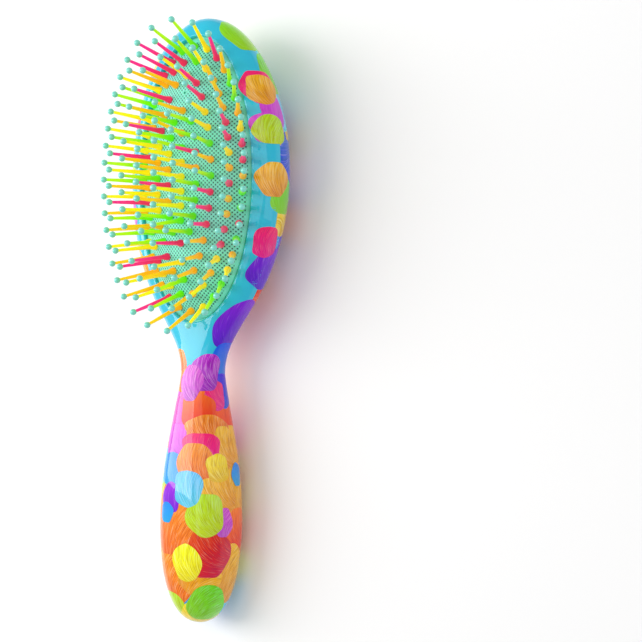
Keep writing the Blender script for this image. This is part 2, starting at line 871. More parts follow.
PALE_GREEN = (164, 224, 96)
SOFT_VIOLET = (142, 108, 216)
DEEP_ORCHID = (184, 74, 206)
LILAC = (212, 122, 214)
POWDER_BLUE = (148, 216, 246)
PERIWINKLE = (92, 100, 226)
LAID_DABS = (
    LaidDab(17, 53, 6.4, 6.4, 10, PALE_GREEN, 0.6),
    LaidDab(-8, 38, 6, 8, 0, GREEN),
    LaidDab(4, 22, 6, 7, 0, LILAC, 0.5),
    LaidDab(24, 32, 7.5, 6.6, 15, HOT_PINK, 0.5),
    LaidDab(19, 31, 7, 6, 15, AMBER, 1.1),
    LaidDab(20, 15.8, 7.6, 6.2, -20, LILAC, 0.5),
    LaidDab(16, 15.2, 7.4, 5.8, -20, LIME, 1.2),
    LaidDab(-6, -10, 8, 7, 0, GREEN, 0.6),
    LaidDab(11, -4, 8, 6.6, 10, AMBER, 1.2),
    LaidDab(-4, -38, 9, 8, 0, SOFT_VIOLET, 0.6),
    LaidDab(13, -28, 6, 6, 0, HOT_PINK, 0.8),
    LaidDab(4, -60, 9, 10, 10, SOFT_VIOLET, 0.5),
    LaidDab(172, 44, 6, 6, 10, YELLOW),
    LaidDab(174, 24, 7, 7, -15, HOT_PINK, 0.8),
    LaidDab(172, 4, 7, 6.6, 10, LIME, 1.1),
    LaidDab(175, -16, 7.5, 7, 20, LILAC, 0.8),
    LaidDab(172, -36, 7, 7, 0, AMBER, 1.1),
    LaidDab(128, -74, 4, 4.4, 0, ORANGE),
    LaidDab(4, -94, 11, 12, 0, CORAL, 0.4),
    LaidDab(106, -96, 6, 9, 0, PINK, 0.5),
    LaidDab(-8, -112, 10, 12, 10, AMBER),
    LaidDab(104, -106, 6, 7, 20, LILAC, 0.6),
    LaidDab(98, -138, 11, 17, -24, ORANGE, 1.0, 0.19),
    LaidDab(106, -117, 6, 7, 0, SKY, 0.5),
    LaidDab(-4, -128, 10, 12, 15, AMBER),
    LaidDab(104, -128, 5, 6, 0, VIOLET, 0.6),
    LaidDab(112, -134, 4, 4, 0, SKY, 0.5),
    LaidDab(-8, -140, 8, 8, 20, CORAL, 0.7),
    LaidDab(108, -160, 9, 10, -30, ORANGE, 1.0, 0.19),
    LaidDab(130, -172, 8, 7, 0, LIME),
    LaidDab(-26, -168, 8, 9, 15, POWDER_BLUE),
    LaidDab(60, -174, 9, 6, 40, GOLD),
    LaidDab(4, -158, 9, 12, -30, AMBER, 1.1, 0.19),
    LaidDab(60, -160, 9, 6, -50, AMBER, 1.1, 0.19),
    LaidDab(0, -75, 6.5, 8, 0, AZURE, 0.3),
    LaidDab(-6, -86, 6, 7, 10, PERIWINKLE, 0.6),
    LaidDab(14, -88, 5, 6, 30, HOT_PINK, 0.8),
    LaidDab(66, -94, 7.5, 7, 10, VERMILION, 0.25),
    LaidDab(40, -101, 9.5, 5.5, 15, ORANGE, 1.2, 0.19),
    LaidDab(8, -108, 6, 8, 20, AMBER, 1.2, 0.19),
    LaidDab(58, -108, 8.5, 5.5, 0, HOT_PINK, 0.7),
    LaidDab(70, -115, 7.5, 9, 10, ORANGE, 1.0, 0.19),
    LaidDab(30, -127, 8.5, 8, 35, AMBER, 1.1, 0.19),
    LaidDab(26, -116, 5, 5.6, 12, GOLD, 1.2, 0.19),
    LaidDab(-10, -119, 3.4, 4.6, 0, SKY, 0.5),
    LaidDab(46, -149, 9.4, 9.6, 50, RED, 0.8, 0.19),
    LaidDab(20, -137, 4.4, 5.6, -25, LILAC, 1.4, 0.19),
    LaidDab(52, -134, 7.8, 8.4, 20, LIME, 1.1),
    LaidDab(80, -124, 6.4, 7.2, 5, POWDER_BLUE, 1.4),
    LaidDab(82, -153, 6.2, 7.6, 15, YELLOW, 1.1),
    LaidDab(42, -169, 8.2, 7.4, -50, GREEN, 1.1, 0.19),
    LaidDab(46, -79, 6.6, 7.2, 20, DEEP_ORCHID, 1.3, 0.19),
    LaidDab(86, -83, 5, 7, 8, LILAC, 1.3, 0.19),
)


@dataclass(frozen=True)
class PaintedLacquer:
    """Overlapping brush dabs under a thick clear gloss lacquer.

    On the front only the handle has these strewn dabs, and the head stays plain aqua.
    """

    name: str
    half: Half
    zones: tuple[Zone, ...]
    ground: tuple[int, int, int]
    lay: Lay
    coats: tuple[Coat, ...] = BODY_COATS
    neck_y: float = -84.0

    def _own_frame(self, g: Graph) -> Socket:
        """Object coordinates turned back into the brush's own frame, in metres."""
        back = self.lay.matrix().copy()
        back = (Matrix.Scale(MM, 4) @ back.inverted())
        where = g.node("ShaderNodeTexCoord").outputs["Object"]
        mapping = g.node("ShaderNodeMapping", {"Vector": where}, vector_type="POINT")
        mapping.inputs["Location"].default_value = back.to_translation()
        mapping.inputs["Rotation"].default_value = (-self.lay.tilt, 0, 0)
        return mapping.outputs[0]

    def _shown(self, g: Graph, mask, centre) -> Socket:
        """A dab's mask, kept on the front only where its middle is on the handle."""
        if self.half is Half.BACK:
            return mask
        return g.times(mask, g.math("LESS_THAN", g.parts(centre)[1], self.neck_y * MM))

    def material(self) -> Finish:
        """Build the material."""
        material, g, shader = fresh_material(self.name)
        where = self._own_frame(g)
        paints = paint_group(f"{self.name} paints", self.zones)
        colour = rgba(linear(*self.ground))
        for coat in self.coats:
            dab = g.group(DabGroup.tree(), {
                "Vector": where, "Shift": tuple(v * MM for v in coat.shift), "Cell": coat.cell * MM,
                "Radius": coat.radius, "Line Pitch": coat.line_pitch * MM}).outputs
            along = g.parts(dab["Centre"])[1]
            paint = g.group(paints, {"Random": dab["Random"], "Place Along": along}).outputs[0]
            stroked = g.group(StrokeTint.tree(), {
                "Color": paint, "Line": dab["Line"], "Rim": dab["Rim"], "Across": dab["Across"],
                "Strength": coat.strength}).outputs[0]
            colour = g.mixed(self._shown(g, dab["Mask"], dab["Centre"]), colour, stroked)
        lacquered(g, shader, colour)
        return material


@dataclass(frozen=True)
class PadRubber:
    """Mint rubber whose moulded pits are dark."""

    name: str = "pad rubber"
    face: tuple[int, int, int] = (124, 236, 214)
    pit: tuple[int, int, int] = (4, 74, 70)

    def material(self) -> Finish:
        """Build the material. It reads the piece's own "pit" attribute, 1 at the bottom of a pit."""
        material, g, shader = fresh_material(self.name)
        deep = g.node("ShaderNodeAttribute", attribute_name="pit").outputs["Fac"]
        shade = g.ranged(deep, 0.02, 0.6, smooth=True)
        colour = g.mixed(shade, rgba(linear(*self.face)), rgba(linear(*self.pit)))
        grained(g, shader, colour, 0.46, 0.04, bump=(0.12, 0.00005))
        return material


@dataclass(frozen=True)
class PinPlastic:
    """Moulded plastic with a fluorescent pigment, deeper in colour towards the pin's base."""

    colour: Colours
    tip: tuple[int, int, int]
    base: tuple[int, int, int]
    glow: float = 0.24

    def material(self) -> Finish:
        """Build the material. It reads the piece's own "along" attribute, 0 at the base and 1 at the ball."""
        material, g, shader = fresh_material(f"pin {self.colour.word}")
        along = g.node("ShaderNodeAttribute", attribute_name="along").outputs["Fac"]
        colour = g.mixed(g.ranged(along, 0.0, 0.8, smooth=True), rgba(linear(*self.base)), rgba(linear(*self.tip)))
        varied = grained(g, shader, colour, 0.34, 0.05, bump=(0.1, 0.00004))
        g.feed(shader.inputs["Emission Color"], varied)
        shader.inputs["Emission Strength"].default_value = self.glow
        shader.inputs["Subsurface Weight"].default_value = 0.12
        shader.inputs["Subsurface Radius"].default_value = (0.002, 0.002, 0.002)
        return material


@dataclass(frozen=True)
class PearlBall:
    """The pearly dip on each pin's end."""

    name: str = "ball pearl"
    body: tuple[int, int, int] = (124, 222, 206)

    def material(self) -> Finish:
        """Build the material."""
        material, g, shader = fresh_material(self.name)
        grained(g, shader, rgba(linear(*self.body)), 0.24, 0.08, grain_scale=4000.0)
        shader.inputs["Sheen Weight"].default_value = 0.35
        shader.inputs["Sheen Roughness"].default_value = 0.3
        shader.inputs["Coat Weight"].default_value = 0.6
        shader.inputs["Coat Roughness"].default_value = 0.12
        return material


PIN_PLASTICS = (
    PinPlastic(Colours.YELLOW, (255, 246, 0), (255, 226, 0)),
    PinPlastic(Colours.ORANGE, (255, 210, 0), (255, 176, 0)),
    PinPlastic(Colours.GREEN, (184, 250, 0), (96, 236, 0)),
    PinPlastic(Colours.MAGENTA, (255, 30, 150), (236, 30, 96)),
)


# ---------------------------------------------------------------- body shells


@dataclass
class LaidPaint:
    """The dabs at chosen places, as thin films of paint that lie on the shells in layers."""

    body: BodyShape
    lay: Lay
    dabs: tuple[LaidDab, ...] = LAID_DABS
    rows: int = 26
    columns: int = 26
    film: float = 0.03
    layer: float = 0.02
    front_end_y: float = -69.5
    end_margin: float = 0.4
    half_turn: float = 0.985 * math.pi
    end_sway: float = 0.04
    side_sway: float = 0.1
    roundness: float = 0.85
    seed_step: float = 7.3
    round_step: int = 4

    def _layers(self) -> list[int]:
        """The layer of each dab: one above the highest earlier dab that it may touch."""
        made: list[int] = []
        for i, dab in enumerate(self.dabs):
            below = [made[k] for k in range(i) if dab.overlaps(self.dabs[k])]
            made.append(1 + max(below, default=-1))
        return made

    def _round(self, dab: LaidDab, y: float) -> tuple[list[Vector], list[float]]:
        """Points once round the body at one place along it, and their distances from the dab's own line."""
        middle = 180 // self.round_step
        turns = [dab.turn + self.round_step * i for i in range(-middle, middle + 1)]
        points = [self.body.skin_point(turn, y) for turn in turns]
        distances = [0.0] * len(points)
        for i in range(middle + 1, len(points)):
            distances[i] = distances[i - 1] + (points[i] - points[i - 1]).length
        for i in range(middle - 1, -1, -1):
            distances[i] = distances[i + 1] - (points[i + 1] - points[i]).length
        return points, distances

    def _row(self, dab: LaidDab, y: float, offsets: list[float], height: float) -> list[Vector]:
        """Points on the skin at set distances round the body from the dab's line, lifted off it."""
        points, distances = self._round(dab, y)
        made = []
        for offset in offsets:
            k = 0
            while k < len(points) - 2 and distances[k + 1] < offset:
                k += 1
            r = clamped((offset - distances[k]) / max(1e-9, distances[k + 1] - distances[k]))
            tangent = points[k + 1] - points[k]
            outward = Vector((tangent.z, 0, -tangent.x)).normalized()
            made.append(points[k] + tangent * r + outward * height)
        return made

    def _outline(self, i: int, dab: LaidDab) -> list[tuple[float, float, list[float]]]:
        """Rows of one dab: distance along from its middle, place along the body, and offsets round it."""
        made = []
        for j in range(self.rows + 1):
            bend = self.half_turn * (j / self.rows - 0.5)
            v = dab.long * math.sin(bend) * (1 + self.end_sway * math.sin(5 * bend + i))
            y = max(dab.along + v, self.body.end_y + self.end_margin)
            if math.sin(math.radians(dab.turn)) > 0 and dab.along < self.front_end_y:
                y = min(y, self.front_end_y)
            half = dab.wide * math.cos(bend) ** self.roundness
            low = -half * (1 + self.side_sway * math.sin(3 * bend + 1.7 * i))
            high = half * (1 + self.side_sway * math.sin(3.4 * bend + 2.3 * i + 1))
            made.append((v, y, [low + (high - low) * k / self.columns for k in range(self.columns + 1)]))
        return made

    def build(self) -> Piece:
        """Build every film as one piece that rides on the body."""
        sketch, places = MeshSketch(), []
        for i, (dab, layer) in enumerate(zip(self.dabs, self._layers())):
            c, s = math.cos(math.radians(dab.slant)), math.sin(math.radians(dab.slant))
            height, reach = self.film + self.layer * layer, (dab.wide + dab.long) / 2
            outline = self._outline(i, dab)
            sketch.loft([self._row(dab, y, offsets, height) for _, y, offsets in outline])
            for v, _, offsets in outline:
                for u in offsets:
                    places.append(((u * c - v * s) * MM, (u * s + v * c) * MM, reach * MM, self.seed_step * i, dab))
        mesh = bpy.data.meshes.new("handle paint")
        mesh.from_pydata(sketch.points, [], sketch.faces)
        middle = mesh.polygons[len(mesh.polygons) // 2]
        if middle.normal.dot(Vector((middle.center.x, 0, middle.center.z))) < 0:
            mesh.flip_normals()
        mesh.transform(self.lay.matrix())
        mesh.shade_smooth()
        fields = {
            "side": [p[0] for p in places], "run": [p[1] for p in places], "reach": [p[2] for p in places],
            "seed": [p[3] for p in places], "pitch": [p[4].pitch * MM for p in places],
            "strength": [p[4].strength for p in places],
        }
        for name, values in fields.items():
            mesh.attributes.new(name, "FLOAT", "POINT").data.foreach_set("value", values)
        colours = [value for p in places for value in rgba(linear(*p[4].paint))]
        mesh.attributes.new("paint", "FLOAT_COLOR", "POINT").data.foreach_set("color", colours)
        mesh.materials.append(self._material())
        piece = new_object("handle_paint", mesh)
        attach(piece, "root")
        return piece

    @staticmethod
    def _material() -> Finish:
        """Clear-lacquered paint, with each dab's own colour and bristle lines."""
        material, g, shader = fresh_material("handle paint")

        def stored(name: str, output: str = "Fac") -> Socket:
            return g.node("ShaderNodeAttribute", attribute_name=name).outputs[output]

        lines = g.group(BristleGroup.tree(), {
            "Side": stored("side"), "Run": stored("run"), "Size": stored("reach"),
            "Line Pitch": stored("pitch"), "Seed": stored("seed")}).outputs
        stroked = g.group(StrokeTint.tree(), {
            "Color": stored("paint", "Color"), "Line": lines["Line"], "Rim": 0.0,
            "Across": lines["Across"], "Strength": stored("strength")}).outputs[0]
        lacquered(g, shader, stroked)
        return material


@dataclass
class RearShell:
    """The domed back half of the body."""

    body: BodyShape
    lay: Lay
    finish: PaintedLacquer
    tip_steps: int = 44
    grip_steps: int = 84
    end_steps: int = 34
    arc_steps: int = 56
    seam_inset: float = 0.14
    seam_h: float = 0.22
    node: str = "rear_shell"
    slot: str = "back_lacquer"

    def stations(self, from_y: float, to_y: float) -> list[float]:
        """Places along the body, close together where it rounds off."""
        body, places = self.body, []
        if from_y > 0:
            places += [from_y * math.cos(math.pi / 2 * (i / self.tip_steps) ** 1.2) for i in range(1, self.tip_steps)]
            from_y = 0.0
        span = from_y - body.handle_round_y
        steps = max(2, round(self.grip_steps * span / -body.handle_round_y))
        places += [from_y - span * i / steps for i in range(steps + 1)]
        rest = body.handle_round_y - to_y
        places += [
            body.handle_round_y - rest * math.sin(math.pi / 2 * (i / self.end_steps) ** 0.92)
            for i in range(1, self.end_steps)
        ]
        return places

    def section(self, half: Half, y: float) -> list[Point]:
        """Points of one half's section at y, from the right side over to the left."""
        body = self.body
        width, depth, side = body.half_w(y), body.depth(half, y), half.value
        inset = min(self.seam_inset, width / 2)
        seam_h = min(self.seam_h, depth / 4)
        e = 2 / body.section_power
        arc = []
        for i in range(1, self.arc_steps):
            a = math.pi * i / self.arc_steps
            x = math.copysign(abs(math.cos(a)) ** e, math.cos(a)) * width
            arc.append((x, y, side * depth * math.sin(a) ** e))
        right = [(width - inset, y, 0.0), (width, y, side * seam_h)]
        left = [(-width, y, side * seam_h), (inset - width, y, 0.0)]
        return right + arc + left

    def closed_half(self, sketch: MeshSketch, half: Half, from_y: float) -> list[list[int]]:
        """Add one half's skin and flat parting face, from a place down to the handle's end, and close that end."""
        rows = sketch.loft([self.section(half, y) for y in self.stations(from_y, self.body.end_y)])
        for low, high in zip(rows, rows[1:]):
            sketch.faces.append([low[-1], low[0], high[0], high[-1]])
        sketch.fan(rows[-1], (0, self.body.end_y, 0))
        return rows

    def build(self) -> Piece:
        """Build the shell.

        Returns:
            The finished piece, riding on the root body.
        """
        sketch = MeshSketch()
        rows = self.closed_half(sketch, Half.BACK, self.body.tip_y)
        sketch.fan(rows[0], (0, self.body.tip_y, 0))
        piece = new_object("rear_shell_lacquered", sketch.mesh("rear shell", self.lay.matrix(), 0.0005))
        return self.dress(piece)

    def dress(self, piece: Piece) -> Piece:
        """Give the piece its finish and its place in the frame."""
        piece.data.materials.append(self.finish.material())
        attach(piece, "root")
        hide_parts(self.node)
        return piece


@dataclass
class FrontShell(RearShell):
    """The front half of the body, with the rim and the recess that the pad stands in."""

    dome: DomeShape = field(default_factory=DomeShape)
    cut_y: float = -64.0
    side_rays: int = 170
    face_rows: int = 20
    lip_r: float = 0.7
    lip_steps: int = 5
    node: str = "front_shell"
    slot: str = "front_lacquer"

    def _hit(self, angle: float) -> tuple[float, float]:
        """Where a ray from the pad's centre leaves the body's outline."""
        c, s = math.cos(angle), math.sin(angle)
        low, high = 0.0, 80.0
        for _ in range(50):
            middle = (low + high) / 2
            x, y = middle * c, self.dome.centre_y + middle * s
            inside = self.body.end_y < y < self.body.tip_y and abs(x) < self.body.half_w(y)
            low, high = (middle, high) if inside else (low, middle)
        return low * c, self.dome.centre_y + low * s

    def _opening(self, toward: tuple[float, float], grow: float) -> tuple[float, float]:
        """The point of the opening's oval, grown by some millimetres, on the ray to a point."""
        x, y = toward[0], toward[1] - self.dome.centre_y
        half_w, half_l = self.dome.opening_half_w + grow, self.dome.opening_half_l + grow
        scale = 1 / math.hypot(x / half_w, y / half_l)
        return x * scale, self.dome.centre_y + y * scale

    def _rim_ends(self) -> list[tuple[float, float]]:
        """Outer ends of the rays, anticlockwise from the right-hand end of the cut across the neck."""
        width = self.body.half_w(self.cut_y)
        first = math.atan2(self.cut_y - self.dome.centre_y, width)
        last = math.pi - first
        ends = [(width, self.cut_y)]
        ends += [self._hit(first + (last - first) * i / self.side_rays) for i in range(1, self.side_rays)]
        ends.append((-width, self.cut_y))
        across = self.section(Half.FRONT, self.cut_y)[2:-2]
        return ends + [(p[0], self.cut_y) for p in reversed(across)]

    def _column(self, end: tuple[float, float], on_outline: bool) -> list[Point]:
        """Points of one ray, from the outside in, down into the recess."""
        body, dome = self.body, self.dome
        lip = self._opening(end, self.lip_r)
        points: list[Point] = []
        if on_outline:
            size = math.hypot(end[0], end[1] - dome.centre_y)
            inset = 1 - self.seam_inset / size
            points.append((end[0] * inset, dome.centre_y + (end[1] - dome.centre_y) * inset, 0.0))
            points.append((*end, self.seam_h))
        else:
            top = (*end, body.front_z(*end))
            points += [top, top]
        for k in range(1, self.face_rows + 1):
            s = math.cos(math.pi / 2 * k / self.face_rows) if k < self.face_rows else 0.0
            x, y = lip[0] + (end[0] - lip[0]) * s, lip[1] + (end[1] - lip[1]) * s
            points.append((x, y, max(self.seam_h, body.front_z(x, y))))
        top_z = body.front_z(*lip)
        for k in range(1, self.lip_steps + 1):
            a = math.pi / 2 * k / self.lip_steps
            x, y = self._opening(end, self.lip_r * (1 - math.sin(a)))
            points.append((x, y, top_z - self.lip_r * (1 - math.cos(a))))
        wide = self._opening(end, dome.groove_undercut)
        points.append((*self._opening(end, 0.0), dome.groove_z))
        points.append((*wide, dome.groove_z))
        points.append((*wide, dome.floor_z))
        for share in (0.66, 0.33):
            points.append((wide[0] * share, dome.centre_y + (wide[1] - dome.centre_y) * share, dome.floor_z))
        return points

    def build(self) -> Piece:
        """Build the shell.

        Returns:
            The finished piece, riding on the root body.
        """
        sketch = MeshSketch()
        ends = self._rim_ends()
        columns = [sketch.row(self._column(end, i <= self.side_rays)) for i, end in enumerate(ends)]
        for low, high in zip(columns, columns[1:] + columns[:1]):
            sketch.strip(low, high)
        sketch.fan([c[-1] for c in columns], (0, self.dome.centre_y, self.dome.floor_z))
        sketch.fan([c[0] for c in columns[: self.side_rays + 1]], (0, self.dome.centre_y, 0))
        self.closed_half(sketch, Half.FRONT, self.cut_y)
        piece = new_object("front_shell_lacquered", sketch.mesh("front shell", self.lay.matrix(), 0.0005))
        return self.dress(piece)


# ---------------------------------------------------------------- geometry nodes


def geometry_tree(name: str, takes: dict[str, tuple]) -> tuple:
    """An empty Geometry Nodes tree with its sockets made.

    Args:
        name: Name of the tree.
        takes: Input name to its socket kind and default, in order.

    Returns:
        The tree's graph, and the sockets that it takes and gives.
    """
    tree = bpy.data.node_groups.new(name, "GeometryNodeTree")
    tree.is_modifier = True
    tree.interface.new_socket("Geometry", in_out="INPUT", socket_type="NodeSocketGeometry")
    for label, (kind, default) in takes.items():
        socket = tree.interface.new_socket(label, in_out="INPUT", socket_type=f"NodeSocket{kind}")
        if default is not None:
            socket.default_value = default
    tree.interface.new_socket("Geometry", in_out="OUTPUT", socket_type="NodeSocketGeometry")
    return Graph(tree), tree.nodes.new("NodeGroupInput").outputs, tree.nodes.new("NodeGroupOutput").inputs


def grown(host: Piece, tree: Tree, values: dict, name: str) -> Mesh:
    """What a Geometry Nodes tree makes on a host object, as a plain mesh.

    Args:
        host: The object that carries the modifier while it is worked out.
        tree: The tree.
        values: Input name to value.
        name: Name of the new mesh.

    Returns:
        The plain mesh, with the modifier removed from the host.
    """
    modifier = host.modifiers.new(name, "NODES")
    modifier.node_group = tree
    for item in tree.interface.items_tree:
        if item.item_type == "SOCKET" and item.in_out == "INPUT" and item.name in values:
            modifier[item.identifier] = values[item.name]
    graph = bpy.context.evaluated_depsgraph_get()
    mesh = bpy.data.meshes.new_from_object(host.evaluated_get(graph))
    mesh.name = name
    host.modifiers.remove(modifier)
    return mesh


def discard(*things: Piece) -> None:
    """Remove helper objects from the scene."""
    for thing in things:
        bpy.data.objects.remove(thing)


class PitTree:
    """Geometry Nodes: a fine square lattice of pits, laid over a dome and cut to its outline."""

    @staticmethod
    def build() -> Tree:
        """Build the tree.

        Returns:
            A tree that drops a turned grid onto the Dome object and sinks a pit in each cell.
        """
        g, given, out = geometry_tree("Moulded pits", {
            "Dome": ("Object", None), "Cell": ("Float", 1.16), "Depth": ("Float", 0.3), "Span": ("Float", 117.0),
            "Centre Y": ("Float", 0.0), "Vent Y": ("Float", 0.0), "Vent Radius": ("Float", 0.6),
            "Material": ("Material", None)})
        step = g.over(given["Cell"], 4.0)
        count = g.plus(g.math("ROUND", g.over(given["Span"], step)), 1.0)
        side = g.times(g.minus(count, 1.0), step)
        grid = g.node("GeometryNodeMeshGrid", {
            "Size X": side, "Size Y": side, "Vertices X": count, "Vertices Y": count})
        index = g.node("GeometryNodeInputIndex").outputs[0]
        column = g.math("FLOOR", g.over(g.plus(index, 0.5), count))
        row = g.minus(index, g.times(column, count))
        # A cosine each way, four steps to a cell, has its lowest place in the middle of every cell
        waves = g.plus(*(g.math("COSINE", g.times(n, math.pi / 2)) for n in (column, row)))
        pit = g.ranged(waves, -0.2, -2.0, smooth=True)
        marked = g.node("GeometryNodeStoreNamedAttribute", {
            "Geometry": grid.outputs["Mesh"], "Name": "pit", "Value": pit}, data_type="FLOAT", domain="POINT")
        lift = g.joined(0.0, given["Centre Y"], 60.0)
        turned = g.node("GeometryNodeTransform", {
            "Geometry": marked.outputs[0], "Translation": lift, "Rotation": (0, 0, math.pi / 4)})
        dome = g.node("GeometryNodeObjectInfo", {"Object": given["Dome"]}, transform_space="ORIGINAL")
        here = g.node("GeometryNodeInputPosition").outputs[0]
        ray = g.node("GeometryNodeRaycast", {
            "Target Geometry": dome.outputs["Geometry"], "Ray Direction": (0, 0, -1), "Ray Length": 200.0})
        depth = g.node("GeometryNodeInputNamedAttribute", {"Name": "pit"}, data_type="FLOAT").outputs[0]
        sink = g.scaled(ray.outputs["Hit Normal"], g.times(depth, g.times(given["Depth"], -1.0)))
        to_vent = g.vector("SUBTRACT", here, g.joined(0.0, given["Vent Y"], 60.0))
        vent_gap = g.node("ShaderNodeVectorMath", {0: to_vent}, operation="LENGTH").outputs["Value"]
        in_vent = g.math("LESS_THAN", vent_gap, given["Vent Radius"])
        missed = g.minus(1.0, ray.outputs["Is Hit"])
        trimmed = g.node("GeometryNodeDeleteGeometry", {
            "Geometry": turned.outputs[0], "Selection": g.math("MAXIMUM", missed, in_vent)}, domain="POINT")
        placed = g.node("GeometryNodeSetPosition", {
            "Geometry": trimmed.outputs[0], "Position": ray.outputs["Hit Position"], "Offset": sink})
        smooth = g.node("GeometryNodeSetShadeSmooth", {"Geometry": placed.outputs[0]})
        real = g.node("GeometryNodeRealizeInstances", {"Geometry": smooth.outputs[0]})
        dressed = g.node("GeometryNodeSetMaterial", {"Geometry": real.outputs[0], "Material": given["Material"]})
        g.feed(out[0], dressed.outputs[0])
        return g.tree


class PinTree:
    """Geometry Nodes: stands a pin or a ball on each place of a row, along the place's own lean."""

    @staticmethod
    def build() -> Tree:
        """Build the tree.

        Returns:
            A tree that reads the places' "lean" and "colour" attributes and copies the Shape object there.
        """
        g, given, out = geometry_tree("Pins on a row", {
            "Shape": ("Object", None), "Colour": ("Int", 0), "Every Colour": ("Bool", False),
            "Lift": ("Float", 0.0), "Material": ("Material", None)})
        colour = g.node("GeometryNodeInputNamedAttribute", {"Name": "colour"}, data_type="INT").outputs[0]
        same = g.math("COMPARE", colour, given["Colour"], 0.5)
        wanted = g.math("MAXIMUM", same, given["Every Colour"])
        lean = g.node("GeometryNodeInputNamedAttribute", {"Name": "lean"}, data_type="FLOAT_VECTOR").outputs[0]
        turn = g.node("FunctionNodeAlignRotationToVector", {"Vector": lean}, axis="Z")
        shape = g.node("GeometryNodeObjectInfo", {"Object": given["Shape"]}, transform_space="ORIGINAL")
        lifted = g.node("GeometryNodeSetPosition", {
            "Geometry": given["Geometry"], "Offset": g.scaled(lean, given["Lift"])})
        pins = g.node("GeometryNodeInstanceOnPoints", {
            "Points": lifted.outputs[0], "Selection": wanted, "Instance": shape.outputs["Geometry"],
            "Rotation": turn.outputs[0]})
        real = g.node("GeometryNodeRealizeInstances", {"Geometry": pins.outputs[0]})
        dressed = g.node("GeometryNodeSetMaterial", {"Geometry": real.outputs[0], "Material": given["Material"]})
        g.feed(out[0], dressed.outputs[0])
        return g.tree


# ---------------------------------------------------------------- cushion pad


